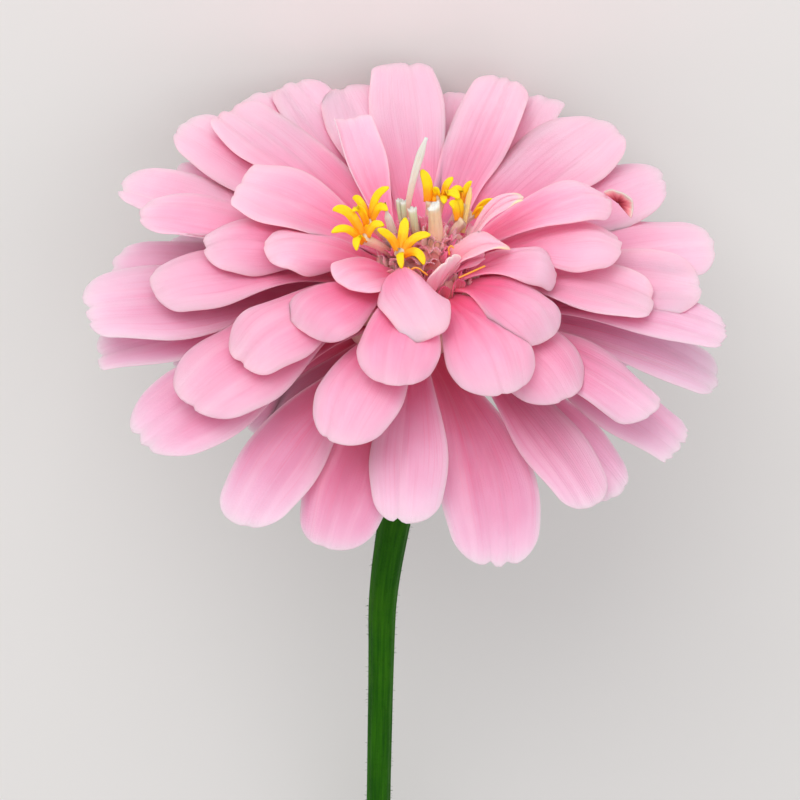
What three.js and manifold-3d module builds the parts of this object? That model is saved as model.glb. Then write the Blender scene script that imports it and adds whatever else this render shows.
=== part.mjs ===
// A double zinnia flower, picked with its bare stem and laid down on a surface.
// Units are millimetres and +Z is up. The origin is on the surface, below the middle of the flower's box.
//
// Each piece is shaped in the flower's own frame: Z runs up the stem's axis through the head, and an
// azimuth is counted round it, 0 to the flower's right and 90 to the side that it lies on.

import * as THREE from 'three';
import { mergeVertices } from 'three/addons/utils/BufferGeometryUtils.js';
import Module from 'manifold-3d';

const wasm = await Module();
wasm.setup();

// Driving dimensions

const STEM_LENGTH = 127.2; // from the bracts down to the cut
const STEM_TOP = -13.5; // height of the stem's top end on the flower's axis
const STEM_RADIUS = 1.6;
const STEM_NECK_RADIUS = 2.6; // the stem swells towards the head
const STEM_SWELLS_FROM = 55; // distance below its top where that starts
const STEM_SWELLING = 1.3; // a higher power keeps the swelling nearer the head
const STEM_STEPS = 20;
const STEM_SIDES = 12;
const STEM_CROOK = { from: 6.4, length: 34, shift: 2.5 }; // a bend to the left below the head, from its top
const STEM_LEAN = 0.018; // and how far it leans to the left for each millimetre down

const AXIS_RISE = 14; // degrees between the lying flower's axis and the surface
const HEAD_PLACE = [0.1, 58.3, 35.6]; // the head's centre in the part's frame

// A petal's outline and bend. Shares of the length run from its root to its tip.
const BLADE_THICKNESS = 0.75;
const ROOT_SHARE = 0.3; // width of the root as a share of the widest
const WIDEST_AT = 0.66; // share of the length where it is widest
const TIP_NARROWING = 0.2; // how much narrower the tip is than the widest
const TIP_BLUNTNESS = 0.42; // how far the tip's corners fall back, as a share of the width
const TIP_ROUNDNESS = 2.2; // 2 for an elliptic tip, and more for a squarer one
const CUPPING = 0.2; // how far the side edges drop, as a share of half the width
const CUPPED_FROM = 0.5; // share of the length where they have dropped in full
const PETAL_BEND = 0.6; // where along the petal its arch is highest
const PETAL_STEPS = 3; // flat facets along and across

// The receptacle that the petals root in. It leans to the flower's right as it rises, and so do the rows.
const CORE = [[0, -4.4], [6.8, -4.4], [7.8, -3.2], [8, -0.5], [7.6, 2], [6.8, 4.5], [5.6, 7], [0, 7]];
const CORE_SIDES = 16;
const CORE_SHIFT = 0.97; // sideways, at height 0
const CORE_LEAN = 0.19; // sideways for each millimetre of height

// Rows of petals, from the disc down to the bracts. A row's petals root on a ring of this radius at this
// height.

const ROWS = {
  top: { radius: 4.7, height: 6 },
  upper: { radius: 5.6, height: 4.2 },
  middle: { radius: 6.4, height: 2 },
  lower: { radius: 6.8, height: -0.3 },
  lowest: { radius: 6.6, height: -2.7 },
};
const LAYER_STEP = 0.7; // neighbours in a row root this much above and below each other

// Each petal: its layer in the row, azimuth, reach of its tip from the axis, height of its tip, width and
// arch, and where it isn't straight, its sideways sway and how far its root is turned from its tip.

const PETALS = {
  top: [
    [0, 8, 14.2, 15, 4, 2, -2, -56],
    [-1, -10, 13, 11.5, 3.6, 3.5, 0, -45],
    [0, -15, 10, 9, 4, 2, 0, -38],
    [0, 109, 21.6, 12, 5.5, 0, 0, 35],
    [0, 160, 21.5, 12, 11, 2],
    [0, 13.5, 25.4, 10.8, 7.5, 4.2],
    [0, -79, 15.9, 8.5, 9, 5, 0, -50],
    [0, -129.5, 12.4, 11, 8, 3],
    [-1, -169, 17.3, 10.5, 7.5, 3],
    [-1, -12.6, 19.3, 7, 7, 4],
    [-1, 103, 33.2, 7.5, 10, 2],
  ],
  upper: [
    [1, 91.2, 35, 9.5, 9.4, 2],
    [-1, 80.5, 34, 6, 9, 2],
    [0, 69, 34.8, 9, 8.5, 2],
    [1, 62.5, 35.9, 7, 8.5, 2],
    [0, 46.2, 36.4, 6.5, 12.5, 2],
    [1, 130, 35.3, 8, 9.5, 2],
    [0, 113.3, 36.6, 7.5, 9, 2],
    [-1, 121.4, 37, 7, 9.5, 2],
    [-1, 136.7, 38.4, 6.5, 10, 2],
    [0, 179.5, 24.6, 8.5, 9.4, 4.5],
    [1, -130, 19.7, 7.5, 10, 4],
    [0, -141.5, 26.4, 4.5, 10.8, 4],
    [1, -94.7, 24, 6.5, 9.8, 6],
    [0, -63.3, 26.6, 5, 10.5, 6],
    [1, -41, 23, 6, 9, 5],
    [1, 2.2, 26.1, 8, 9, 4],
    [-1, -10.3, 29.8, 3, 9.2, 3],
  ],
  middle: [
    [0, -45, 27.8, 1, 11, 5],
    [0, -107, 28.8, 1, 10.5, 5, 0, 12],
    [1, -145.5, 32.6, 0, 14.3, 4],
    [1, -175.6, 31.1, 4.7, 11, 5],
    [0, 166.5, 33.2, 7.6, 9.8, 6],
    [-1, 153.8, 38.9, 4.8, 9.3, 3],
    [1, 32.8, 37.2, 4, 12, 3],
    [0, 12.6, 38.2, 3, 12.5, 4],
    [-1, 1.4, 35.4, 1.8, 11.2, 3],
  ],
  lower: [
    [0, -9.5, 39.1, 0, 8.5, 5.5],
    [0, -177, 39, 1.4, 14.2, 3],
    [-1, 162.5, 37.9, -3, 11, 3],
    [1, -32, 34.6, -1.5, 8.5, 4],
    [0, -149, 37.2, -5.5, 14.2, 4],
    [0, -90.2, 30.9, -8, 9.3, 3],
    [-1, -49.5, 33.8, -10, 8.3, 3, 1],
    [-1, -174, 37.6, -4.2, 9.5, 3],
    [-1, -10, 38.1, -7.2, 9.5, 5.5],
  ],
  lowest: [
    [1, -26.8, 37, -9, 8.8, 3, 2],
    [0, -41.3, 33.5, -11.5, 9.5, 3],
    [0, -72.3, 34.1, -13.5, 11.8, 3, 4],
    [1, -106.3, 32.8, -11.5, 10.7, 3],
    [-1, -123.4, 35.4, -9.5, 10.3, 3, -1.5],
  ],
};

// Petals that the others hide, most of them on the side that the flower lies on: azimuths and one shape.
// Of the middle row, the flower rests on the two that stand furthest out.

const HIDDEN = [
  { row: 'middle', azimuths: [72, 108], shape: [38.7, 2, 11, 3] },
  { row: 'middle', azimuths: [54, 90, 124, 142], shape: [36, 3, 11, 3] },
  { row: 'lower', azimuths: [28, 46, 64, 82, 100, 118, 136, 150], shape: [33.5, -4, 11, 3] },
  { row: 'lowest', azimuths: [5, 22, 160, 178], shape: [29, -9, 11, 3] },
  { row: 'lowest', azimuths: [42, 65, 88, 111, 134], shape: [29, -13, 11, 3] },
];

// Bracts: overlapping scales in rows up a cup, each row covering the roots of the next.

const CUP = [[2.6, -13.2], [4.4, -12], [6, -9.8], [6.9, -7.2], [7.2, -4.7]];
const BRACTS_IN_ROW = 10;
const BRACT_TIPS = [-10.6, -8.6, -6.7, -4.8]; // heights of the rows' tips
const BRACT_DROP = 1.3; // how far the corners between two tips lie below them
const BRACT_LEDGE = 0.7; // how far a tip stands out over the next row

// Disc: a low cone in the middle of the petals, with open florets and closed ones standing on it.

const DISC_SHIFT = 2.3;
const DISC_CONE = [[0, 7.35], [4.2, 7.35], [4, 8.2], [2.6, 9.6], [0, 10.4]];
const CONE_TURN = 0.2; // radians, so that no corner of the cone meets a floret's
const FLORET_ROOT_HEIGHT = 7.6;
const FLORET_ROOT_SPREAD = 0.45; // how far out a floret roots, as a share of how far out its throat is
const FLORET_THROATS = [
  [-5.8, -0.6, 12.5],
  [-4.9, -3.3, 12],
  [-1.1, -4.9, 11.5],
  [2.7, 3.3, 13],
  [4.9, 4.2, 12.7],
  [7.2, 2.3, 11.2],
  [9.2, 4.2, 10.2],
];

// An open floret's tube, which flares from its root to a hollow mouth, and the lobes round the mouth. A
// lobe starts at the rim, rises and bends outwards. Its widths are at its middle and at its tip.
const TUBE = { rootRadius: 0.45, mouthRadius: 1, hollowRadius: 0.5, depth: 0.5, lip: 0.1 };
const LOBE = { count: 5, reach: 3.2, rise: 1.2, widths: [1.15, 0.8], thickness: 0.6 };
const LOBE_RIM_SHARE = 0.6; // the share of the rim that the lobes take
const LOBE_FOOT = 0.75; // where the lobe's middle line leaves the mouth
const LOBE_CREST = { reach: 1.2, rise: 2 };

// Closed florets: root, top, and radius at each.

const CLOSED_FLORETS = [
  { root: [3.9, -2.6, 7.5], top: [3.2, -1.3, 15.8], radii: [0.9, 0.7] },
  { root: [1.9, -1, 7.8], top: [0.8, -0.7, 14], radii: [0.6, 0.55] },
  { root: [0.9, 0.9, 7.9], top: [-0.7, 0.6, 14.5], radii: [0.6, 0.5] },
  { root: [-0.2, 0.9, 7.7], top: [-2.6, 0.9, 13.5], radii: [0.7, 0.55] },
  { root: [0.4, 2.6, 7.7], top: [1.9, 5.4, 19.5], radii: [0.7, 0.45] },
];

const rad = THREE.MathUtils.degToRad;

// Solids

function solid(geometry) {
  const bare = geometry.clone();
  bare.deleteAttribute('normal');
  bare.deleteAttribute('uv');
  const merged = mergeVertices(bare, 1e-4);
  return new wasm.Manifold(
    new wasm.Mesh({
      numProp: 3,
      vertProperties: merged.attributes.position.array,
      triVerts: new Uint32Array(merged.index.array),
    }),
  );
}

// Joins the geometries and keeps the outer skin of the largest body, so that a sealed hollow is filled.
function join(geometries) {
  const bodies = wasm.Manifold.union(geometries.map(solid)).decompose();
  const largest = bodies.reduce((a, b) => (b.volume() > a.volume() ? b : a));
  const mesh = largest.getMesh();
  const geometry = new THREE.BufferGeometry();
  geometry.setAttribute('position', new THREE.BufferAttribute(mesh.vertProperties, mesh.numProp));
  geometry.setIndex(new THREE.BufferAttribute(mesh.triVerts, 1));
  geometry.computeVertexNormals();
  return geometry;
}

// A closed blade of even thickness over surface(u, v), which gives a point and a normal for u and v
// in 0 to 1. Both faces are split into triangles alike.
function blade(surface, lengthSteps, widthSteps, thickness = BLADE_THICKNESS) {
  const across = widthSteps + 1;
  const perFace = (lengthSteps + 1) * across;
  const positions = [];
  for (const side of [0.5, -0.5]) {
    for (let i = 0; i <= lengthSteps; i += 1) {
      for (let j = 0; j <= widthSteps; j += 1) {
        const { point, normal } = surface(i / lengthSteps, j / widthSteps);
        positions.push(...point.clone().addScaledVector(normal, side * thickness).toArray());
      }
    }
  }
  const index = [];
  const quad = (a, b, c, d) => index.push(a, b, c, a, c, d);
  for (let i = 0; i < lengthSteps; i += 1) {
    for (let j = 0; j < widthSteps; j += 1) {
      const a = i * across + j;
      const [b, c, d] = [a + across, a + across + 1, a + 1];
      quad(a, b, c, d);
      index.push(a + perFace, c + perFace, b + perFace, a + perFace, d + perFace, c + perFace);
    }
  }
  const rim = (a, b) => quad(a, a + perFace, b + perFace, b);
  for (let i = 0; i < lengthSteps; i += 1) {
    rim(i * across, (i + 1) * across);
    rim((i + 1) * across + widthSteps, i * across + widthSteps);
  }
  for (let j = 0; j < widthSteps; j += 1) {
    rim(j + 1, j);
    rim(lengthSteps * across + j, lengthSteps * across + j + 1);
  }
  const geometry = new THREE.BufferGeometry();
  geometry.setAttribute('position', new THREE.Float32BufferAttribute(positions, 3));
  geometry.setIndex(index);
  return geometry;
}

function turned(profile, sides) {
  const points = profile.map(([radius, height]) => new THREE.Vector2(radius, height));
  return new THREE.LatheGeometry(points, sides).rotateX(Math.PI / 2);
}

// Petals

const ease = (x) => THREE.MathUtils.smoothstep(x, 0, 1);

function onRing(azimuth, radius, height) {
  return new THREE.Vector3(radius * Math.cos(rad(azimuth)), radius * Math.sin(rad(azimuth)), height);
}

function coreShift(height) {
  return CORE_SHIFT + CORE_LEAN * height;
}

function petalSurface(row, [layer, azimuth, reach, rise, width, arch, sway = 0, turn = 0]) {
  const { radius, height } = ROWS[row];
  const root = onRing(azimuth + turn, radius, height + layer * LAYER_STEP);
  root.x += coreShift(height);
  const tip = onRing(azimuth, reach, rise);
  const crest = root.clone().lerp(tip, PETAL_BEND);
  crest.add(onRing(azimuth + 90, sway, arch));
  const spine = new THREE.QuadraticBezierCurve3(root, crest, tip);
  const up = new THREE.Vector3(0, 0, 1);
  const blunt = (TIP_BLUNTNESS * width) / root.distanceTo(tip);
  return (u, v) => {
    const t = 2 * v - 1;
    const s = u * (1 - blunt * (1 - (1 - Math.abs(t) ** TIP_ROUNDNESS) ** (1 / TIP_ROUNDNESS)));
    const swell = ROOT_SHARE + (1 - ROOT_SHARE) * ease(s / WIDEST_AT);
    const narrowing = TIP_NARROWING * ease((s - WIDEST_AT) / (1 - WIDEST_AT));
    const half = (width / 2) * swell * (1 - narrowing);
    const drop = CUPPING * half * t * t * ease(s / CUPPED_FROM);
    const along = spine.getTangent(s);
    const across = up.clone().cross(along).normalize();
    const normal = along.clone().cross(across);
    const point = spine.getPoint(s).addScaledVector(across, t * half).addScaledVector(normal, -drop);
    return { point, normal };
  };
}

function rayFlorets() {
  const core = turned(CORE, CORE_SIDES);
  const place = core.attributes.position;
  for (let i = 0; i < place.count; i += 1) {
    place.setX(i, place.getX(i) + coreShift(place.getZ(i)));
  }
  const petals = [];
  const addPetal = (row, shape) => {
    petals.push(blade(petalSurface(row, shape), PETAL_STEPS, PETAL_STEPS));
  };
  for (const [row, shapes] of Object.entries(PETALS)) {
    shapes.forEach((shape) => addPetal(row, shape));
  }
  for (const { row, azimuths, shape } of HIDDEN) {
    azimuths.forEach((azimuth, i) => addPetal(row, [(i % 2) - 1, azimuth, ...shape]));
  }
  return join([core, ...petals]);
}

// Bracts

// Radius of the bracts' cup at a height.
function cupRadius(height) {
  const next = Math.max(1, CUP.findIndex(([, top]) => top >= height));
  const [[r0, h0], [r1, h1]] = [CUP[next - 1], CUP[next]];
  return THREE.MathUtils.mapLinear(height, h0, h1, r0, r1);
}

function bracts() {
  const columns = 4 * BRACTS_IN_ROW;
  const edge = (row, column) => {
    const t = ((column / 2 + row) % 2) - 1;
    return BRACT_TIPS[row] - BRACT_DROP * t * t;
  };
  const rings = [[() => CUP[0][1], 0]];
  BRACT_TIPS.forEach((tip, row) => {
    if (row > 0) rings.push([(column) => edge(row - 1, column), 0]);
    rings.push([(column) => edge(row, column), BRACT_LEDGE]);
  });
  const positions = [];
  for (const [height, ledge] of rings) {
    for (let i = 0; i < columns; i += 1) {
      const level = height(i);
      positions.push(...onRing((360 * i) / columns, cupRadius(level) + ledge, level).toArray());
    }
  }
  positions.push(0, 0, CUP[0][1], 0, 0, CUP[CUP.length - 1][1]);
  const [bottom, top] = [rings.length * columns, rings.length * columns + 1];
  const index = [];
  for (let i = 0; i < columns; i += 1) {
    const next = (i + 1) % columns;
    for (let ring = 0; ring + 1 < rings.length; ring += 1) {
      const [a, b] = [ring * columns + i, ring * columns + next];
      index.push(a, b, b + columns, a, b + columns, a + columns);
    }
    const last = (rings.length - 1) * columns;
    index.push(bottom, next, i, top, last + i, last + next);
  }
  const geometry = new THREE.BufferGeometry();
  geometry.setAttribute('position', new THREE.Float32BufferAttribute(positions, 3));
  return geometry.setIndex(index);
}

// Disc

// A tapered tube, closed at both ends, from one point to another.
function taper(root, top, [rootRadius, topRadius], sides) {
  const [from, to] = [new THREE.Vector3(...root), new THREE.Vector3(...top)];
  const length = from.distanceTo(to);
  const geometry = turned([[0, 0], [rootRadius, 0], [topRadius, length], [0, length]], sides);
  const turn = new THREE.Quaternion().setFromUnitVectors(
    new THREE.Vector3(0, 0, 1),
    to.clone().sub(from).normalize(),
  );
  return geometry.applyQuaternion(turn).translate(from.x, from.y, from.z);
}

// An open floret: a tube with lobes, each drawn out of a stretch of the tube's rim, up and then outwards.
function openFloret(place, startAngle) {
  const throat = new THREE.Vector3(...place);
  const below = throat.clone().setZ(FLORET_ROOT_HEIGHT);
  const root = new THREE.Vector3(DISC_SHIFT, 0, FLORET_ROOT_HEIGHT).lerp(below, FLORET_ROOT_SPREAD);
  const axis = throat.clone().sub(root).normalize();
  const side = axis.clone().cross(new THREE.Vector3(0, 1, 0)).normalize();
  const sector = (2 * Math.PI) / LOBE.count;
  const spread = (LOBE_RIM_SHARE * sector) / 2;
  const columns = 2 * LOBE.count;
  const outward = (turn) => side.clone().applyAxisAngle(axis, turn);
  const angle = (k) => startAngle + sector * Math.floor(k / 2) + (k % 2 ? spread : -spread);
  const positions = [];
  const add = (point) => positions.push(...point.toArray()) / 3 - 1;
  const ring = (centre, radius, lift) => {
    const from = centre.clone().addScaledVector(axis, lift);
    return Array.from({ length: columns }, (_, k) => (
      add(from.clone().addScaledVector(outward(angle(k)), radius))
    ));
  };
  const rings = [
    ring(root, TUBE.rootRadius, 0),
    ring(throat, TUBE.mouthRadius, 0),
    ring(throat, TUBE.hollowRadius, -TUBE.lip),
  ];
  const bottom = add(root);
  const mouth = add(throat.clone().addScaledVector(axis, -TUBE.depth));
  const index = [];
  const quad = (a, b, c, d) => index.push(a, b, c, a, c, d);
  for (let k = 0; k < columns; k += 1) {
    const next = (k + 1) % columns;
    const [foot, rim, inner] = rings.map((row) => [row[k], row[next]]);
    quad(foot[0], foot[1], rim[1], rim[0]);
    index.push(foot[1], foot[0], bottom, inner[0], inner[1], mouth);
    let section = [rim[0], rim[1], inner[1], inner[0]];
    if (k % 2 === 0) {
      const out = outward(angle(k) + spread);
      const across = axis.clone().cross(out);
      const bow = new THREE.QuadraticBezierCurve3(
        throat.clone().addScaledVector(out, LOBE_FOOT),
        throat.clone().addScaledVector(axis, LOBE_CREST.rise).addScaledVector(out, LOBE_CREST.reach),
        throat.clone().addScaledVector(axis, LOBE.rise).addScaledVector(out, LOBE.reach),
      );
      LOBE.widths.forEach((width, step) => {
        const u = (step + 1) / LOBE.widths.length;
        const normal = bow.getTangent(u).cross(across);
        const corner = (sideways, up) => add(
          bow.getPoint(u).addScaledVector(across, (sideways * width) / 2)
            .addScaledVector(normal, (up * LOBE.thickness) / 2),
        );
        const further = [corner(-1, -1), corner(1, -1), corner(1, 1), corner(-1, 1)];
        further.forEach((point, m) => {
          const n = (m + 1) % 4;
          quad(section[m], section[n], further[n], point);
        });
        section = further;
      });
    }
    quad(...section);
  }
  const geometry = new THREE.BufferGeometry();
  geometry.setAttribute('position', new THREE.Float32BufferAttribute(positions, 3));
  return geometry.setIndex(index);
}

function disc() {
  const pieces = [turned(DISC_CONE, 12).rotateZ(CONE_TURN).translate(DISC_SHIFT, 0, 0)];
  FLORET_THROATS.forEach((place, index) => pieces.push(openFloret(place, index)));
  for (const { root, top, radii } of CLOSED_FLORETS) pieces.push(taper(root, top, radii, 6));
  return join(pieces);
}

function stem() {
  const profile = [[0, STEM_TOP - STEM_LENGTH]];
  for (let i = STEM_STEPS; i >= 0; i -= 1) {
    const down = (STEM_LENGTH * i) / STEM_STEPS;
    const swell = Math.max(0, 1 - down / STEM_SWELLS_FROM) ** STEM_SWELLING;
    profile.push([THREE.MathUtils.lerp(STEM_RADIUS, STEM_NECK_RADIUS, swell), STEM_TOP - down]);
  }
  profile.push([0, STEM_TOP]);
  const geometry = turned(profile, STEM_SIDES);
  const place = geometry.attributes.position;
  for (let i = 0; i < place.count; i += 1) {
    const down = STEM_TOP - place.getZ(i);
    const crook = STEM_CROOK.shift * ease((down - STEM_CROOK.from) / STEM_CROOK.length);
    place.setX(i, place.getX(i) - crook - STEM_LEAN * down);
  }
  return geometry;
}

function piece(name, geometry, color, roughness) {
  const material = new THREE.MeshStandardMaterial({ color, roughness, metalness: 0 });
  const mesh = new THREE.Mesh(geometry, material);
  mesh.name = name;
  return mesh;
}

const flower = new THREE.Group();
flower.add(piece('ray_florets', rayFlorets(), 0xf2a6c2, 0.55));
flower.add(piece('disc_florets', disc(), 0xf5b81e, 0.6));
flower.add(piece('bracts', bracts(), 0x4f7a34, 0.6));
flower.add(piece('stem', stem(), 0x5c8a3a, 0.6));
flower.rotation.x = -rad(90 - AXIS_RISE);
flower.position.set(...HEAD_PLACE);

const part = new THREE.Group();
part.add(flower);

export default part;
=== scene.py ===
"""The looks of a double zinnia flower, picked with its bare stem and laid down on a surface.

Every piece is shaped in millimetres in the flower's own frame, and then placed. There, Z runs up the stem's
axis through the head, and an azimuth is counted round it, 0 to the flower's right and 90 to the side that
it lies on.
"""

import math
import random

import bpy
import numpy as np
from mathutils import Matrix, Vector


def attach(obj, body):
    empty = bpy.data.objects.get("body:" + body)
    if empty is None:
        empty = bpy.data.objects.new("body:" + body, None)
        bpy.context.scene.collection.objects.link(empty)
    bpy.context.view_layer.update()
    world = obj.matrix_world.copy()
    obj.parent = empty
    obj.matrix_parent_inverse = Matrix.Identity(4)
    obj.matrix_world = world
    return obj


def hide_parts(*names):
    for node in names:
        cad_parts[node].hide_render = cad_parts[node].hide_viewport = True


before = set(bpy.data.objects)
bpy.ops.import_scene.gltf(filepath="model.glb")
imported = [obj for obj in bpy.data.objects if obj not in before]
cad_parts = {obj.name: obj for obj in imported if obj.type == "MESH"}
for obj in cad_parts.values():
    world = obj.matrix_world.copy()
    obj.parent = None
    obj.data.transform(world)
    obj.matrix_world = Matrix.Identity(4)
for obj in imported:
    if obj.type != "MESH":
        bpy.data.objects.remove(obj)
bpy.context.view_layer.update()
scene = bpy.context.scene

# Driving dimensions, which the frame's solids share

MM = 0.001
AXIS_RISE = math.radians(14)
HEAD_PLACE = np.array([0.1, 58.3, 35.6])

STEM_LENGTH = 127.2
STEM_TOP = -13.5
STEM_RADIUS = 1.6
STEM_NECK_RADIUS = 2.6
STEM_SWELLS_FROM = 55
STEM_SWELLING = 1.3
CROOK_FROM, CROOK_LENGTH, CROOK_SHIFT = 6.4, 34, 2.5
STEM_LEAN = 0.018

ROOT_SHARE = 0.3
WIDEST_AT = 0.66
TIP_NARROWING = 0.2
TIP_BLUNTNESS = 0.42
TIP_ROUNDNESS = 2.2
PETAL_BEND = 0.6

CORE = [(0, -4.4), (6.8, -4.4), (7.8, -3.2), (8, -0.5), (7.6, 2), (6.8, 4.5), (5.6, 7), (0, 7)]
CORE_SHIFT = 0.97
CORE_LEAN = 0.19

# Each row of petals: the radius and height of its roots, and its share of the darker, lilac pink that paints
# the shade the lower rows lie in
ROWS = {
    "top": (4.7, 6, 0),
    "upper": (5.6, 4.2, 0.05),
    "middle": (6.4, 2, 0.25),
    "lower": (6.8, -0.3, 0.7),
    "lowest": (6.6, -2.7, 0.85),
}
LAYER_STEP = 0.7

# How finely a petal is divided, along and across, how thick it is, and how many times thicker at its root
PETAL_STEPS = (40, 22)
PETAL_THICKNESS = 0.34
EDGE_THICKNESS = 0.04
ROOT_THICKENING = 1.5

# Each petal: its layer in the row, azimuth, reach and height of its tip, width and arch, and then what else
# is told apart by eye. turn and sway: degrees from tip to root, and sideways bend. bend: share of the length
# where the arch is highest. base, narrow and blunt: width of the root as a share of the widest, how much
# narrower the tip is, and how far back its corners lie. slant: how much further one corner reaches. cup: how
# far the side edges drop, as a share of half the width. channel and fold: how far they rise near the root,
# and from a sharp crease along the middle. folds: sides that roll up, or down below 0, each by its side,
# degrees, place and spread along the petal, and the share of half the width where it starts. curl: how far
# the tip rolls down. wave: height of the edges' waves. notches: places across the tip, -1 to 1, and depths.
# teeth: depth of a torn tip's teeth. tone: below 0 deeper and above 0 paler. painted_shade: share of the
# darker, lilac pink that paints shade, where it isn't the row's. young: how young it looks, with a cream tip.
PETALS = {}
PETALS["top"] = [
    (0, 3.8, 13.8, 15, 2.4, 6, dict(
        bend=0.5, turn=-51, sway=1.5, channel=0, narrow=0.4, young=1, cup=0, tone=1.6)),
    (0, -14.3, 12.7, 10.5, 3.6, 6.4, dict(
        bend=0.4, turn=-54, base=1, fold=0.2, narrow=0.6, young=1, cup=0, tone=1.6)),
    (-1, -14.5, 9.4, 9.2, 3, 2.5, dict(turn=-60, base=0.5, cup=0.1, blunt=0.2, tone=1.2)),
    (0, 109, 21.6, 12, 5.5, 0, dict(
        turn=35, cup=-0.3, folds=[(1, 70, 0.7, 0.6, 0.6)], blunt=0.25, narrow=0.05, wave=0.3, tone=0.1)),
    (0, 160, 21.5, 12, 11, 2, dict(cup=-0.05, blunt=0.1, wave=0.4, tone=0.8)),
    (0, 13.5, 25.4, 10.8, 7.5, 4.2, dict(cup=0.3, folds=[(1, 60, 0.4, 0.3, 0.6)], curl=1.4, tone=1.4)),
    (0, -77.5, 18.2, 9.8, 9.2, 10, dict(
        bend=0.28, turn=-46, sway=-2, base=0.12, cup=0, fold=-0.7, narrow=0.1, blunt=0.45, slant=-0.2,
        wave=0.05, notches=[(0, 0)], tone=0.6, folds=[(1, -90, 0.45, 0.3, 0.15)])),
    (0, -129.5, 12.4, 10.5, 8, 3, dict(cup=0.1, channel=0.5, tone=0.8)),
    (-1, -169, 17.3, 10.5, 7.5, 3, dict(cup=0.3, folds=[(1, -60, 0.3, 0.4, 0.3)], curl=1, tone=0.9)),
    (-1, -12.6, 19.3, 7, 7, 4, dict(turn=-40, base=0.15, cup=0.5, curl=3, channel=0.6, tone=1.6)),
    (-1, 103, 33.2, 7.9, 10, 2, dict(base=0.55, cup=0.05, notches=[(0.2, 0.4)], tone=0.3)),
]
PETALS["upper"] = [
    (0, -56.6, 9, 12.9, 5.4, 0.6, dict(
        turn=-23, base=0.8, channel=0, young=0.4, cup=0.1, blunt=0.5, narrow=0.4, tone=1.6)),
    (1, 91.2, 35, 9.5, 9.4, 2, dict(base=0.55, cup=0, blunt=0.25, notches=[(-0.3, 0.3)], tone=0.3)),
    (-1, 80.5, 34, 6, 9, 2, dict(base=0.55, tone=0.2)),
    (1, 69, 34.8, 9, 8.5, 2, dict(base=0.55, cup=0, wave=0.6)),
    (-1, 62.5, 36.5, 6.3, 8.5, 2, dict(base=0.55, cup=0, slant=-0.15, blunt=0.25, tone=0.2)),
    (0, 46.2, 36, 7, 12.5, 2.5, dict(base=0.55, cup=0.1, wave=0.3, tone=0.9)),
    (1, 130, 35.3, 8, 9.5, 2, dict(base=0.55, cup=-0.1, wave=0.5, notches=[(-0.2, 0.5), (0.4, 0.4)])),
    (0, 113.3, 36.6, 7.5, 9, 2, dict(base=0.55, cup=0)),
    (-1, 121.4, 37, 7, 9.5, 2, dict(base=0.55, cup=0.1, tone=0.3)),
    (-1, 136.7, 38.4, 6.5, 10, 2, dict(cup=0.1, slant=-0.1)),
    (0, 179.5, 24.6, 8.5, 9.4, 4.5, dict(
        cup=0.3, folds=[(1, -55, 0.3, 0.4, 0.3)], curl=1, notches=[(0.1, 0.5)])),
    (1, -130, 19.7, 7.5, 10, 4, dict(cup=0.4, curl=1.6, tone=-0.2)),
    (0, -141.5, 26.4, 4.5, 10.8, 4, dict(cup=0.35, curl=1.8, slant=0.1, notches=[(0.2, 0.7)])),
    (1, -94.7, 24, 6.5, 9.8, 6, dict(cup=0.4, channel=0.5, curl=1.2, narrow=0.25, blunt=0.4, tone=-1)),
    (0, -63.3, 26.6, 5, 10.5, 6, dict(cup=0.4, curl=1.4, tone=-0.2)),
    (1, -41, 23, 6, 9, 5, dict(cup=0.45, curl=1.8)),
    (1, 2.2, 26.1, 8, 9, 4, dict(cup=0.5, curl=1.2, tone=2)),
    (0, -10.3, 29.8, 3.5, 9.2, 3.2, dict(channel=0.5, cup=-0.1, blunt=0.3, tone=1.4)),
]
PETALS["middle"] = [
    (0, -45, 27.8, 1, 11, 5, dict(cup=0.35, curl=1.4, notches=[(-0.2, 0.4)])),
    (0, -107, 28.8, 1, 10.5, 5, dict(
        turn=12, cup=0.35, curl=1.2, tone=-0.2, narrow=0.3, notches=[(-0.4, 0.4)])),
    (1, -145.5, 32.6, 0, 14.3, 4, dict(cup=0.35, curl=1.2, notches=[(0.25, 0.6)])),
    (1, -175.6, 31.1, 4.7, 11, 5, dict(cup=0.4, curl=1, channel=0.4)),
    (0, 166.5, 33.2, 7.6, 10.4, 6, dict(
        cup=0.35, folds=[(1, 130, 0.58, 0.22, 0.55)], wave=0.5, narrow=0.3, blunt=0.55)),
    (-1, 153.8, 38.9, 4.8, 9.3, 3, dict(cup=0.1, notches=[(0.35, 0.8)])),
    (1, 32.8, 37.2, 4, 12, 3, dict(cup=0.3, blunt=0.55, notches=[(-0.3, 0.5), (-0.6, 0.4)], tone=0.2)),
    (-1, 13.2, 38.2, 2.4, 12.5, 3, dict(cup=0.25, blunt=0.32, painted_shade=0, tone=1.2)),
    (1, -0.3, 35.4, 2.1, 11.2, 2, dict(
        cup=0.15, folds=[(1, 36, 0.8, 0.5, 0.3)], channel=0.1, painted_shade=0, tone=1.4)),
]
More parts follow.
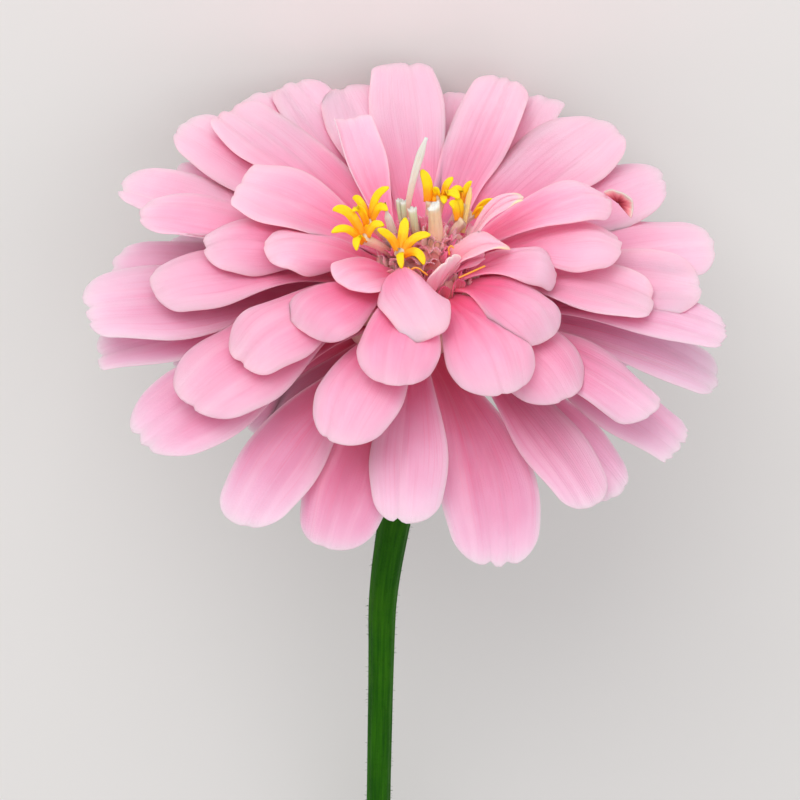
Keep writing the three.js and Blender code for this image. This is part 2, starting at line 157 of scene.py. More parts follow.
PETALS["lower"] = [
    (0, -9.5, 39.1, 0, 8.5, 5.5, dict(cup=0.05, slant=-0.1, teeth=0.8, tone=1)),
    (0, -177, 39, 1.4, 14.2, 3, dict(blunt=0.3, notches=[(0.15, 1.1), (0.5, 0.7)], tone=0.2)),
    (-1, 162.5, 37.9, -3, 11, 3, dict(tone=-1.2)),
    (1, -32, 34.6, -1.5, 8.5, 4, dict(cup=0.35, wave=0.8)),
    (0, -149, 37.2, -5.5, 14.2, 4, dict(cup=0.15, notches=[(-0.1, 0.9), (0.3, 0.6)], tone=-1.2)),
    (0, -90.2, 30.9, -8, 9.3, 3, dict(notches=[(-0.25, 0.8)], tone=1.8)),
    (-1, -49.5, 33.8, -10, 8.3, 3, dict(sway=1, cup=0.1)),
    (-1, -174, 37.6, -4.2, 9.5, 3, dict(slant=0.1, blunt=0.2, notches=[(0.3, 0.7)], tone=-1)),
    (-1, -10, 38.1, -7.2, 9.5, 5.5, dict(cup=0, blunt=0.3, painted_shade=1, tone=1.4)),
]
PETALS["lowest"] = [
    (1, -26.8, 37, -9, 8.8, 3, dict(sway=2, blunt=0.2, slant=-0.12, teeth=0.8)),
    (0, -41.3, 33.5, -11.5, 9.5, 3, dict(cup=0.1)),
    (0, -72.3, 34.1, -13.5, 11.8, 3, dict(sway=4, cup=0.1, notches=[(-0.15, 0.9), (0.3, 0.8)], tone=-0.7)),
    (1, -106.3, 32.8, -11.5, 10.7, 3, dict(notches=[(-0.2, 0.3)], tone=-2.8)),
    (-1, -123.4, 35.4, -9.5, 10.3, 3, dict(sway=-1.5, cup=0.1, notches=[(0.2, 0.4)], tone=-0.8)),
]

# Petals that the others hide: row, azimuths, and reach, height of the tip, width and arch. Of the middle
# row, the flower rests on the two that stand furthest out.
HIDDEN = [
    ("lowest", (-137, -150), (22, -11, 9, 3)),
    ("upper", (36, 55, 75, 86, 97, 117, 126, 146), (30, 2.4, 10.5, 1)),
    ("middle", (72, 108), (38.7, 2, 11, 3)),
    ("middle", (54, 90, 124, 142), (36, 3, 11, 3)),
    ("lower", (28, 46, 64, 82, 100, 118, 136, 150), (33.5, -4, 11, 3)),
    ("lowest", (5, 22, 160, 178), (29, -9, 11, 3)),
    ("lowest", (42, 65, 88, 111, 134), (29, -13, 11, 3)),
]

# The dried tip that curls like a hood beside a petal of the top row: its rim and its depth, in the terms of
# the disc's places below, and its thickness
CURLED_RIM = [(23.6, 12.9, 2), (24.6, 13.2, 2.4), (25.8, 12.9, 2.7), (26.9, 11.9, 2.9), (27.2, 10.8, 2.9),
              (26.7, 9.9, 2.7)]
CURLED_DEPTH = (25.4, 11.6, 0.6)
CURLED_THICKNESS = 0.2

# Bracts: the cup's radii and heights, and its scales, whose half width is a share of their sector and whose
# tips stand out
CUP = [(2.6, -13.2), (4.4, -12), (6, -9.8), (6.9, -7.2), (7.2, -4.7)]
BRACTS_IN_ROW = 10
BRACT_TIPS = (-10.6, -8.6, -6.7, -4.8)
BRACT_LENGTH = 4.2
BRACT_THICKNESS = 0.4
BRACT_HALF_WIDTH = 0.62
BRACT_FLARE = 0.5

# Disc. The places of what stands on it are given along the line of sight from 40 degrees above the head's
# side: to the right, upwards across the sight, and nearer along it.
SIGHT_RISE = math.radians(40)
DISC_SHIFT = 2.3
DISC_CONE = [(0, 7.35), (4.2, 7.35), (4, 8.2), (2.6, 9.6), (0, 10.4)]
FLORET_ROOT_HEIGHT = 7.6
FLORET_ROOT_SPREAD = 0.45
TUBE_RADII = (0.45, 0.66)

# Inside an open floret's mouth: depths, radii there and the places along the tube with the same colour
TUBE_INSIDE = [(0.15, 0.5, 0.9), (0.9, 0.38, 0.5), (1.1, 0.1, 0.3)]

# An open floret: its throat, and its lobes as the point that each bends towards, its tip and its width
OPEN_FLORETS = [
    ((-4.7, 9.2, 8.4), [
        ((-4.3, 12.7, 8.2), (-2.1, 13.3, 9), 1.05),
        ((-5.6, 12.6, 7.6), (-6.4, 12, 7), 0.9),
        ((-5.4, 11.7, 9.2), (-6.4, 10.4, 10), 0.95),
        ((-3.2, 11.9, 7.4), (-2.5, 11.1, 6.6), 0.9),
        ((-3.4, 11.9, 9), (-2.3, 10.5, 9.8), 1),
    ]),
    ((-5.2, 7.2, 10), [
        ((-6.7, 11.5, 9.3), (-8.8, 10.6, 9.3), 1.15),
        ((-7.1, 9.3, 10.4), (-8.9, 7.9, 10.8), 0.95),
        ((-6.2, 8.2, 11.2), (-5.9, 5.8, 12), 1),
        ((-4.1, 9.6, 10.2), (-2.7, 8.7, 10.6), 0.95),
        ((-4.6, 9.4, 8.8), (-4, 8.8, 7.6), 0.9),
    ]),
    ((-0.9, 5.5, 11.2), [
        ((-1.8, 7.9, 11.2), (-3.5, 8.3, 11.6), 0.95),
        ((-0.4, 8, 10.2), (-0.2, 9.7, 9.6), 1.2),
        ((0.8, 8, 11), (2.8, 7.6, 11.2), 1),
        ((1.5, 6.5, 12), (2, 4.1, 12.6), 1),
        ((-1, 6.2, 12.4), (-0.6, 3.6, 13), 0.9),
    ]),
    ((2.9, 11.7, 5.8), [
        ((2.8, 13.8, 5.8), (1.7, 15.5, 5.8), 1.3),
        ((3.5, 12.9, 5.2), (3.9, 12.6, 4.4), 0.8),
    ]),
    ((4.1, 12.5, 5.2), [
        ((4.4, 13.8, 5), (5.5, 14.6, 4.8), 0.9),
        ((4.9, 13.7, 6), (6.2, 12, 6.6), 1.35),
        ((3.6, 13, 5.8), (3.2, 13.4, 6), 0.95),
        ((4.4, 12.6, 6.3), (4.4, 11.4, 6.8), 0.85),
    ]),
    ((6.8, 11.5, 4.8), [
        ((7, 14, 5), (5.2, 13.1, 5.4), 0.8),
        ((6.7, 13.2, 4.6), (7.7, 14.2, 4.6), 0.75),
    ]),
    ((6.7, 9.4, 6.2), [
        ((6.1, 11.5, 6.6), (5, 11.4, 7), 1.35),
        ((6.7, 11.7, 5.9), (5.7, 12, 6.2), 1),
    ]),
    ((7.7, 10.3, 3.9), [
        ((8.6, 12, 3.8), (10.6, 11.9, 4.2), 0.85),
        ((9, 11.5, 4.6), (9.3, 10.2, 4.8), 0.9),
    ]),
]

# A lobe: how far its face turns from its floret's axis towards the line of sight, how far out from the throat
# and down its root lies, and its thickness and how much thinner its rim is
LOBE_OPENNESS = 0.8
LOBE_FOOT_OUT = 0.45
LOBE_FOOT_DEPTH = 0.2
LOBE_THICKNESS = 0.3
LOBE_THINNING = 0.14

# Closed florets and narrow rolled petals: kind, root, bend, top, and radii at both ends
CLOSED_FLORETS = [
    ("beige", (3, 5.2, 5.6), (3.7, 8, 8.6), (3.1, 11.1, 10.6), (1, 0.68)),
    ("green", (1.2, 6.2, 5.4), (1, 8, 8), (0.6, 10.8, 9.2), (0.42, 0.5)),
    ("green", (0.6, 6.6, 4.8), (-0.4, 9, 7.4), (-0.5, 11.7, 8.6), (0.3, 0.36)),
    ("green", (0.2, 6.6, 4.8), (-0.9, 9, 7.4), (-1, 11.9, 8.4), (0.26, 0.3)),
    ("pale", (-0.6, 6, 5), (-2, 8.4, 7.6), (-2.4, 10.5, 9), (0.42, 0.36)),
    ("pale", (-0.2, 8.5, 3.5), (0.2, 13.8, 6), (2.3, 19.2, 8.2), (0.22, 0.42)),
    ("cream", (6.6, 8, 5), (7.1, 10.6, 5.3), (7.6, 13.4, 5.2), (0.24, 0.28)),
]

# How much higher the right side of a closed floret's top stands than its middle
TOP_SLANT = {"green": 0.05, "beige": 0.45}

# Style threads of the florets: points along each
STYLES = [
    [(0.1, 3.8, 12.2), (0.4, 3.5, 12.4), (0.9, 3.8, 12.6), (1.4, 3.7, 12.6), (1.9, 3.3, 12.4),
     (2.4, 2.9, 12.2)],
    [(6.1, 2.6, 11.4), (7.4, 3.2, 11.6), (9.2, 4, 11.8)],
    [(5, 5.3, 10.4), (4.9, 6.1, 10.6), (5.2, 6.4, 10.7), (5.5, 6.1, 10.6)],
]
STYLE_RADIUS = 0.11

# Chaff: fringed scales that stand between the florets under a low dome, and in rings round them, each ring
# given by the radius and height of its roots and of its tops
CHAFF_COUNT = 60
CHAFF_WIDTHS = (1.3, 1.9)
CHAFF_THICKNESS = 0.1
CHAFF_AREA = (5.4, 4.8)
CHAFF_MIDDLE = (1.4, -0.6)
CHAFF_TOP = 12.4
CHAFF_DOME = 2.2
CHAFF_RIM = range(-170, 31, 6)
CHAFF_RINGS = [(5.2, 6.6, 5.8, 9.2), (6.1, 5, 6.8, 7.6), (4.6, 6.6, 5, 9.2)]

# How finely scales of chaff and bracts are divided, along and across
SCALE_STEPS = (14, 12)

# What the random draws start from
SEED = 11


# Meshes

def ease(x):
    x = np.clip(x, 0, 1)
    return x * x * (3 - 2 * x)


def unit(v):
    return v / np.maximum(np.linalg.norm(v, axis=-1, keepdims=True), 1e-9)


def circle(sides):
    """Angles evenly round a circle."""
    return np.linspace(0, 2 * math.pi, sides, endpoint=False)


def grid(steps_along, steps_across):
    """Shares along a blade as a column, and places across it from -1 to 1 as a row."""
    return np.linspace(0, 1, steps_along + 1)[:, None], np.linspace(-1, 1, steps_across + 1)[None, :]


def crowded(across):
    """Places across a blade, moved closer together towards its side edges."""
    return across * (1.5 - 0.5 * across ** 2)


def placed(points):
    """Points in millimetres in the flower's frame, as points in metres in the part's frame."""
    x, y, z = points[..., 0], points[..., 1], points[..., 2]
    sine, cosine = math.sin(AXIS_RISE), math.cos(AXIS_RISE)
    turned = np.stack([x, y * sine + z * cosine, -y * cosine + z * sine], axis=-1)
    return (turned + HEAD_PLACE) * MM


def seen(right, up, near):
    """The point of the flower's frame that lies there along the line of sight."""
    sine, cosine = math.sin(SIGHT_RISE), math.cos(SIGHT_RISE)
    return np.array([right, up * sine - near * cosine, up * cosine + near * sine])


def surface_normals(face, hint):
    """The grid's own normals, on the hint's side."""
    down = np.gradient(face, axis=0)
    over = np.gradient(face, axis=1)
    normal = unit(np.cross(down, over))
    flipped = np.sum(normal * hint, axis=-1, keepdims=True) < 0
    return np.where(flipped, -normal, normal)


# How far above the surface the lowest points lie
CLEARANCE = 0.02


def above_ground(points):
    """The flower's points, lifted along the part's Z to lie on or above the surface."""
    sine, cosine = math.sin(AXIS_RISE), math.cos(AXIS_RISE)
    height = -points[..., 1] * cosine + points[..., 2] * sine + HEAD_PLACE[2]
    short = np.maximum(CLEARANCE - height, 0)[..., None]
    return points + short * np.array([0, -cosine, sine])


class Piece:
    """A mesh that grows by grids and tubes, with what its material reads at each point."""

    def __init__(self, name, materials, slot, node):
        self.name = name
        self.materials = materials
        self.slot = slot
        self.node = node
        self.points = []
        self.marks = {"along": [], "across": [], "tone": [], "kind": []}
        self.faces = []
        self.slots = []

    def add_points(self, points, along, across, tone, kind):
        """Adds a grid of points, and returns the number of each."""
        shape = points.shape[:-1]
        first = len(self.points)
        self.points.extend(points.reshape(-1, 3).tolist())
        for values, value in zip(self.marks.values(), (along, across, tone, kind)):
            values.extend(np.broadcast_to(value, shape).reshape(-1).tolist())
        return np.arange(first, len(self.points)).reshape(shape)

    def add_faces(self, a, b, c, d, slot):
        quads = np.stack([a, b, c, d], axis=-1).reshape(-1, 4).tolist()
        self.faces.extend(quads)
        self.slots.extend([slot] * len(quads))

    def blade(self, upper, lower, along, across, tone=0, kind=0, under=0):
        """A closed blade between two grids of points, which run from root to tip and from side to side. The
        lower one has the material with the number under."""
        top = self.add_points(upper, along, across, tone, kind)
        base = self.add_points(lower, along, across, tone, kind)
        self.add_faces(top[:-1, :-1], top[1:, :-1], top[1:, 1:], top[:-1, 1:], 0)
        self.add_faces(base[:-1, :-1], base[:-1, 1:], base[1:, 1:], base[1:, :-1], under)
        for edge in (np.s_[:, 0], np.s_[-1], np.s_[::-1, -1], np.s_[0, ::-1]):
            self.add_faces(top[edge][:-1], base[edge][:-1], base[edge][1:], top[edge][1:], 0)

    def leaf(self, face, hint, thickness, along, across, tone=0, kind=0, under=0):
        """A closed blade round a grid of points, kept above the surface, with its face on the hint's side."""
        shell = surface_normals(face, hint) * (np.asarray(thickness) / 2)[..., None]
        self.blade(above_ground(face + shell), above_ground(face - shell), along, across, tone, kind, under)

    def tube(self, rings, along, kind=0):
        """A closed tube through rings of points, with its ends capped by fans."""
        sides = rings.shape[1]
        across = np.linspace(0, 1, sides, endpoint=False)[None, :]
        wall = self.add_points(rings, along[:, None], across, 0, kind)
        turned = np.roll(wall, -1, axis=1)
        self.add_faces(wall[:-1], turned[:-1], turned[1:], wall[1:], 0)
        for end, order in ((0, -1), (-1, 1)):
            middle = rings[end].mean(axis=0)[None, :]
            (centre,) = self.add_points(middle, along[end], 0.5, 0, kind).tolist()
            around = wall[end][::order].tolist()
            for first, second in zip(around, around[1:] + around[:1]):
                self.faces.append([first, second, centre])
                self.slots.append(0)

    def build(self):
        mesh = bpy.data.meshes.new(self.name)
        mesh.from_pydata(placed(np.array(self.points)).tolist(), [], self.faces)
        for name, values in self.marks.items():
            mesh.attributes.new(name, "FLOAT", "POINT").data.foreach_set("value", values)
        for material in self.materials:
            mesh.materials.append(material)
        mesh.polygons.foreach_set("material_index", self.slots)
        mesh.polygons.foreach_set("use_smooth", [True] * len(mesh.polygons))
        mesh.update()
        thing = bpy.data.objects.new(self.name, mesh)
        scene.collection.objects.link(thing)
        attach(thing, "root")
        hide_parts(self.node)


# Materials

class Shader:
    """A material's nodes, added one by one, with its surface shader ready."""

    def __init__(self, name, roughness, subsurface=0.0, radius=(1, 0.3, 0.4), sheen=0.0, specular=0.4):
        self.material = bpy.data.materials.new(name)
        self.material.use_nodes = True
        self.tree = self.material.node_tree
        self.surface = self.tree.nodes["Principled BSDF"]
        inputs = {"Roughness": roughness, "Subsurface Weight": subsurface, "Subsurface Radius": radius,
                  "Subsurface Scale": 1.5 * MM, "Sheen Weight": sheen, "Specular IOR Level": specular}
        for socket, value in inputs.items():
            self.surface.inputs[socket].default_value = value

    def link(self, value, socket):
        """Sets a socket to a number or a colour, or joins another node's output to it."""
        if isinstance(value, bpy.types.NodeSocket):
            self.tree.links.new(value, socket)
        else:
            socket.default_value = value

    def add(self, kind, inputs=(), **settings):
        node = self.tree.nodes.new("ShaderNode" + kind)
        for name, value in settings.items():
            setattr(node, name, value)
        for name, value in dict(inputs).items():
            self.link(value, node.inputs[name])
        return node

    def marks(self, *names):
        return [self.add("Attribute", attribute_name=name).outputs["Fac"] for name in names]

    def math(self, operation, *values):
        node = self.add("Math", operation=operation)
        for socket, value in zip(node.inputs, values):
            self.link(value, socket)
        return node.outputs[0]

    def plus(self, first, second):
        return self.math("ADD", first, second)

    def times(self, first, second):
        return self.math("MULTIPLY", first, second)

    def remap(self, value, low, high, to_low=0, to_high=1):
        node = self.add("MapRange", {"Value": value, "From Min": low, "From Max": high,
                                     "To Min": to_low, "To Max": to_high})
        return node.outputs["Result"]

    def mix(self, share, first, second):
        node = self.add("Mix", data_type="RGBA")
        self.link(share, node.inputs[0])
        for colour, socket in ((first, node.inputs[6]), (second, node.inputs[7])):
            self.link((*colour, 1) if isinstance(colour, tuple) else colour, socket)
        return node.outputs[2]

    def ramp(self, value, stops):
        node = self.add("ValToRGB", {"Fac": value})
        elements = node.color_ramp.elements
        while len(elements) < len(stops):
            elements.new(0.5)
        for element, (place, colour) in zip(elements, stops):
            element.position = place
            element.color = (*colour, 1)
        return node.outputs["Color"]

    def noise(self, vector, scale, detail):
        return self.add("TexNoise", {"Vector": vector, "Scale": scale, "Detail": detail}).outputs["Fac"]

    def grain(self, scale, detail=2.0):
        """Noise over the part's own space."""
        return self.noise(self.add("TexCoord").outputs["Object"], scale, detail)

    def streaks(self, x, y, z, detail=3.0):
        """Noise over places that are worked out from the marks."""
        return self.noise(self.add("CombineXYZ", {"X": x, "Y": y, "Z": z}).outputs[0], 1, detail)

    def finish(self, colour, height=None, depth=0.1, strength=0.5):
        self.link(colour, self.surface.inputs["Base Color"])
        if height is not None:
            bump = self.add("Bump", {"Height": height, "Strength": strength, "Distance": depth * MM})
            self.tree.links.new(bump.outputs["Normal"], self.surface.inputs["Normal"])
        return self.material


# What young petals turn to towards their root
SALMON = (0.93, 0.6, 0.55)

# Painted glow: a hot pink painted into the hollows between petals, where the ambient occlusion finds other
# surfaces near, for the light that comes through the petals there: its colour, how far away they may stand in
# millimetres, the samples that look for them, and its share, and how much of that the petals with the lower
# rows' painted shade have
PAINTED_GLOW = (1, 0.22, 0.4)
GLOW_REACH = 5
GLOW_SAMPLES = 2
GLOW_SHARE = 0.7
SHADED_ROW_GLOW = 0.5


def petal_material(name, stops, shaded_stops, vein, vein_share, edge, young):
    """A petal's face: deeper at the root, pale at the tip and edges, with veins along it. Its kind is above 0
    for a young petal, with a cream tip, and below 0 for the darker, lilac pink that paints the lower rows'
    shade."""
    s = Shader(name, 0.5, subsurface=0.75, radius=(1, 0.8, 0.86), sheen=0.05, specular=0.22)
    along, across, tone, kind = s.marks("along", "across", "tone", "kind")
    cloud = s.grain(130)
    out = s.math("ABSOLUTE", across)
    # Deeper towards the root: partly the petal's own colour, partly painted shade where the petals overlap
    shade = s.plus(along, s.times(s.math("POWER", out, 2.5), 0.12))
    shade = s.plus(shade, s.remap(cloud, 0.3, 0.7, -0.08, 0.08))
    shade = s.plus(shade, s.times(tone, 0.3))
    # Painted shade: the lower rows' darker, lilac pink stands for the shade that they lie in
    painted_shade = s.math("MAXIMUM", s.times(kind, -1), 0)
    colour = s.mix(painted_shade, s.ramp(shade, stops), s.ramp(shade, shaded_stops))
    lane = s.times(tone, 70)
    broad = s.streaks(s.plus(s.times(across, 3.2), lane), s.times(along, 1.1), lane, 2)
    fine = s.streaks(s.plus(s.times(across, 24), lane), s.times(along, 1.8), lane, 2)
    fading = s.remap(along, 0.15, 0.95, 1, 0.1)
    veins = s.times(s.remap(fine, 0.52, 0.74), s.times(fading, vein_share))
    veins = s.times(veins, s.plus(s.times(painted_shade, 0.7), 1))
    colour = s.mix(veins, colour, vein)
    band = s.times(s.remap(broad, 0.5, 0.8), s.remap(along, 0.2, 0.6, 0.1, 0.28))
    # Paler rim and tip: partly the petal's own paler edge, partly a painted highlight where the thin rim
    # catches light
    rim = s.times(s.math("POWER", out, 10), 0.25)
    end = s.times(s.math("POWER", along, 12), 0.35)
    for share in (band, rim, end):
        colour = s.mix(share, colour, edge)
    youth = s.math("MAXIMUM", kind, 0)
    colour = s.mix(s.times(youth, s.remap(along, 0, 0.8, 0.6, 0.15)), colour, SALMON)
    reach = s.plus(along, s.times(s.math("POWER", out, 3), 0.22))
    colour = s.mix(s.times(youth, s.remap(reach, 0.9, 1.06)), colour, young)
    # Painted glow: hot pink painted where ambient occlusion finds the hollows between petals
    open_share = s.add("AmbientOcclusion", {"Distance": GLOW_REACH * MM}, samples=GLOW_SAMPLES).outputs["AO"]
    painted_glow = s.times(s.remap(open_share, 0.1, 0.6, GLOW_SHARE, 0), s.remap(painted_shade, 0, 1, 1, SHADED_ROW_GLOW))
    colour = s.mix(painted_glow, colour, PAINTED_GLOW)
    cells = s.grain(5200, 1)
    height = s.plus(s.times(fine, 0.7), s.times(cells, 0.25))
    height = s.plus(height, s.times(broad, 0.8))
    s.link(s.remap(cloud, 0.3, 0.7, 0.44, 0.6), s.surface.inputs["Roughness"])
    return s.finish(colour, height, 0.16)


PETAL_TOP = petal_material(
    "petal",
    [(0, (0.99, 0.09, 0.23)), (0.3, (0.99, 0.16, 0.32)), (0.5, (0.99, 0.25, 0.41)),
     (0.7, (0.99, 0.35, 0.51)), (1, (0.99, 0.48, 0.63))],
    # Darker, lilac pink: painted shade of the lower rows
    [(0, (0.48, 0.1, 0.17)), (0.3, (0.57, 0.19, 0.31)), (0.52, (0.63, 0.28, 0.42)),
     (0.74, (0.7, 0.37, 0.52)), (1, (0.77, 0.47, 0.62))],
    (0.74, 0.09, 0.2), 0.34, (1, 0.68, 0.79), (0.95, 0.84, 0.42),
)
PETAL_UNDER = petal_material(
    "petal_underside",
    [(0, (0.85, 0.34, 0.36)), (0.35, (0.92, 0.44, 0.54)), (0.7, (0.95, 0.57, 0.69)), (1, (0.94, 0.7, 0.78))],
    # Darker, lilac pink: painted shade of the lower rows
    [(0, (0.72, 0.34, 0.32)), (0.35, (0.84, 0.42, 0.5)), (0.7, (0.9, 0.55, 0.68)), (1, (0.92, 0.68, 0.8))],
    (0.62, 0.26, 0.3), 0.45, (0.93, 0.84, 0.82), (0.9, 0.82, 0.5),
)


def dried_and_hollow_shade_material():
    s = Shader("dried_tip_hollow_shade", 0.6, subsurface=0.3, radius=(1, 0.6, 0.6), specular=0.2)
    along, across = s.marks("along", "across")
    streaks = s.streaks(s.times(across, 5), along, 0.4)
    shade = s.plus(along, s.remap(streaks, 0.3, 0.7, -0.12, 0.12))
    # Darkest at the depth of the curl: painted shade in its hollow. The red-brown and the greyish-beige rim
    # are the dried tip's own colours
    colour = s.ramp(shade, [(0, (0.12, 0.01, 0.015)), (0.35, (0.42, 0.06, 0.09)), (0.7, (0.85, 0.28, 0.32)),
                            (0.88, (0.86, 0.5, 0.47)), (1, (0.7, 0.56, 0.5))])
    return s.finish(colour, streaks, 0.1, 0.6)


def lobe_material():
    s = Shader("lobe", 0.45, subsurface=0.3, radius=(1, 0.7, 0.1), specular=0.3)
    along, across = s.marks("along", "across")
    cloud = s.grain(900)
    shade = s.plus(along, s.remap(cloud, 0.3, 0.7, -0.1, 0.1))
    colour = s.ramp(shade, [(0, (0.95, 0.28, 0.002)), (0.28, (1, 0.42, 0.001)),
                            (0.5, (1, 0.64, 0.001)), (1, (1, 0.74, 0.004))])
    grain = s.grain(5200)
    line = s.streaks(s.times(across, 5), along, 0.5, 1)
    return s.finish(colour, s.plus(grain, line), 0.12, 0.7)


def tube_material():
    """Floret tubes and closed florets, told apart by kind: pinkish, green, beige, pale and cream."""
    s = Shader("floret_tube", 0.6, subsurface=0.5, radius=(1, 0.8, 0.6), sheen=0.1)
    along, across, kind = s.marks("along", "across", "kind")
    colour = s.ramp(along, [(0, (0.55, 0.26, 0.22)), (0.6, (0.84, 0.5, 0.45)), (1, (0.9, 0.6, 0.38))])
    green = s.ramp(along, [(0, (0.62, 0.4, 0.34)), (0.5, (0.6, 0.62, 0.4)), (0.9, (0.62, 0.7, 0.46)),
                           (1, (0.86, 0.9, 0.8))])
    beige = s.ramp(along, [(0, (0.9, 0.58, 0.48)), (0.35, (0.88, 0.66, 0.46)), (0.9, (0.8, 0.62, 0.38)),
                           (0.96, (0.75, 0.66, 0.5)), (1, (0.92, 0.95, 0.86))])
    pale = s.ramp(along, [(0, (0.72, 0.42, 0.34)), (0.35, (0.88, 0.68, 0.58)), (0.6, (0.8, 0.8, 0.7)),
                          (1, (0.8, 0.86, 0.76))])
    for number, look in enumerate((green, beige, pale, (0.93, 0.66, 0.24))):
        colour = s.mix(s.math("GREATER_THAN", kind, number + 0.5), colour, look)
    streaks = s.streaks(s.times(across, 22), s.times(along, 3), kind)
    colour = s.mix(s.remap(streaks, 0.5, 0.8, 0, 0.35), colour, (0.46, 0.26, 0.16))
    grain = s.grain(4200, 3)
    colour = s.mix(s.remap(grain, 0.55, 0.75, 0, 0.3), colour, (0.85, 0.78, 0.66))
    return s.finish(colour, s.plus(streaks, grain), 0.14, 0.8)


def chaff_material():
    s = Shader("chaff", 0.5, subsurface=1, radius=(1, 0.8, 0.8), sheen=0.1)
    along, across, tone = s.marks("along", "across", "tone")
    streaks = s.streaks(s.times(across, 9), along, s.times(tone, 40))
    shade = s.plus(along, s.remap(streaks, 0.3, 0.7, -0.15, 0.15))
    colour = s.ramp(shade, [(0, (0.9, 0.45, 0.3)), (0.35, (0.99, 0.64, 0.46)), (0.6, (1, 0.72, 0.58)),
                            (0.8, (1, 0.34, 0.42)), (1, (1, 0.12, 0.25))])
    colour = s.mix(s.times(s.remap(tone, 0.5, 0.65), 0.85), colour, (1, 0.05, 0.19))
    colour = s.mix(s.times(s.remap(streaks, 0.55, 0.75), 0.5), colour, (0.99, 0.8, 0.68))
    return s.finish(colour, streaks, 0.1, 0.6)


def style_material():
    s = Shader("style", 0.45, subsurface=0.2)
    grain = s.grain(6000, 1)
    return s.finish(s.mix(grain, (0.85, 0.3, 0.02), (0.95, 0.5, 0.08)), grain, 0.05, 0.4)


def core_material():
    s = Shader("receptacle", 0.6, subsurface=0.5, radius=(1, 0.7, 0.7))
    cloud = s.grain(700, 3)
    colour = s.mix(cloud, (0.85, 0.3, 0.34), (0.95, 0.62, 0.55))
    return s.finish(colour, cloud, 0.3, 0.6)


def bract_material():
    s = Shader("bract", 0.5, subsurface=0.1, radius=(0.3, 0.6, 0.1), sheen=0.1)
    along, across = s.marks("along", "across")
    cloud = s.grain(500, 3)
    colour = s.ramp(s.plus(along, s.remap(cloud, 0.3, 0.7, -0.12, 0.12)),
                    [(0, (0.16, 0.26, 0.07)), (0.6, (0.1, 0.24, 0.045)), (1, (0.14, 0.25, 0.06))])
    lines = s.streaks(s.times(across, 12), along, 0.2, 2)
    colour = s.mix(s.remap(lines, 0.5, 0.75, 0, 0.4), colour, (0.28, 0.4, 0.14))
    margin = s.math("MAXIMUM", s.remap(along, 0.86, 0.95), s.remap(s.math("ABSOLUTE", across), 0.88, 0.97))
    colour = s.mix(s.times(margin, 0.85), colour, (0.05, 0.02, 0.015))
    return s.finish(colour, lines, 0.12, 0.7)


def stem_material():
    s = Shader("stem", 0.6, subsurface=0.05, radius=(0.3, 0.7, 0.1), specular=0.06)
    along, across, kind = s.marks("along", "across", "kind")
    streaks = s.streaks(s.times(across, 26), s.times(along, 12), 0.3)
    cloud = s.grain(160, 3)
    colour = s.mix(s.remap(streaks, 0.35, 0.7), (0.01, 0.085, 0.001), (0.028, 0.15, 0.002))
    colour = s.mix(s.remap(cloud, 0.45, 0.75, 0, 0.4), colour, (0.05, 0.18, 0.004))
    # Darker towards the head: painted shade under the head
    colour = s.mix(s.remap(along, 0.7, 0.95, 0, 0.6), colour, (0.012, 0.045, 0.001))
    colour = s.mix(s.math("GREATER_THAN", kind, 0.5), colour, (0.55, 0.62, 0.36))
    return s.finish(colour, s.plus(streaks, s.grain(2600)), 0.12, 0.6)


def floor_material():
    s = Shader("floor", 0.75, specular=0.2)
    cloud = s.grain(9, 3)
    return s.finish(s.mix(cloud, (0.74, 0.73, 0.71), (0.78, 0.77, 0.755)))


# Petals

def on_ring(azimuth, radius, height):
    angle = math.radians(azimuth)
    return np.array([radius * math.cos(angle), radius * math.sin(angle), height])


def core_shift(height):
    return CORE_SHIFT + CORE_LEAN * height


def bend(start, middle, end, share):
    """Points of a quadratic curve, and its directions there."""
    share = share[..., None]
    points = (1 - share) ** 2 * start + 2 * share * (1 - share) * middle + share ** 2 * end
    directions = (1 - share) * (middle - start) + share * (end - middle)
    return points, unit(directions)


def tip_outline(across, width, length, look, rng):
    """How far back from its full length a petal's tip lies, as a share of the length."""
    corner = look["blunt"] * width * (1 - (1 - np.abs(across) ** TIP_ROUNDNESS) ** (1 / TIP_ROUNDNESS))
    for place, depth in look["notches"]:
        corner = corner + depth * np.exp(-((across - place) / NOTCH_WIDTH) ** 2)
    corner = corner - look["slant"] * width * across * np.abs(across)
    if look["teeth"]:
        jagged = sum(np.abs(np.sin(across * pace + rng.uniform(0, 3))) for pace in (7, 13, 19)) / 3
        corner = corner + look["teeth"] * jagged
    return corner / length


def rolled_side(share, turn, start):
    """How far out and how high a petal's side lies where it rolls up from a share of its width on."""
    steps = share[..., None] * np.linspace(0, 1, 12)
    angle = turn[..., None] * ease((steps - start) / ROLL_ONSET)
    return share * np.cos(angle).mean(axis=-1), share * np.sin(angle).mean(axis=-1)


LOOK = dict(sway=0, turn=0, bend=PETAL_BEND, base=ROOT_SHARE, blunt=TIP_BLUNTNESS, narrow=TIP_NARROWING,
            cup=0.2, channel=0.25, fold=0, folds=(), curl=0, wave=0.25, notches=(), teeth=0, slant=0,
            tone=0, young=0)

# Shares of half a petal's width that a notch, the groove behind it and the onset of a fold take, and the
# height of a petal's lumps
NOTCH_WIDTH = 0.11
GROOVE_WIDTH = 0.15
ROLL_ONSET = 0.35
LUMP_HEIGHT = 0.14

# How far a petal's tone varies by chance, how much one step of it counts, and how much paler the petals at
# the back are and how much deeper those in front
TONE_CHANCE = 0.16
TONE_STEP = 0.3
BACK_PALENESS = 0.7
FRONT_DEPTH = 0.25


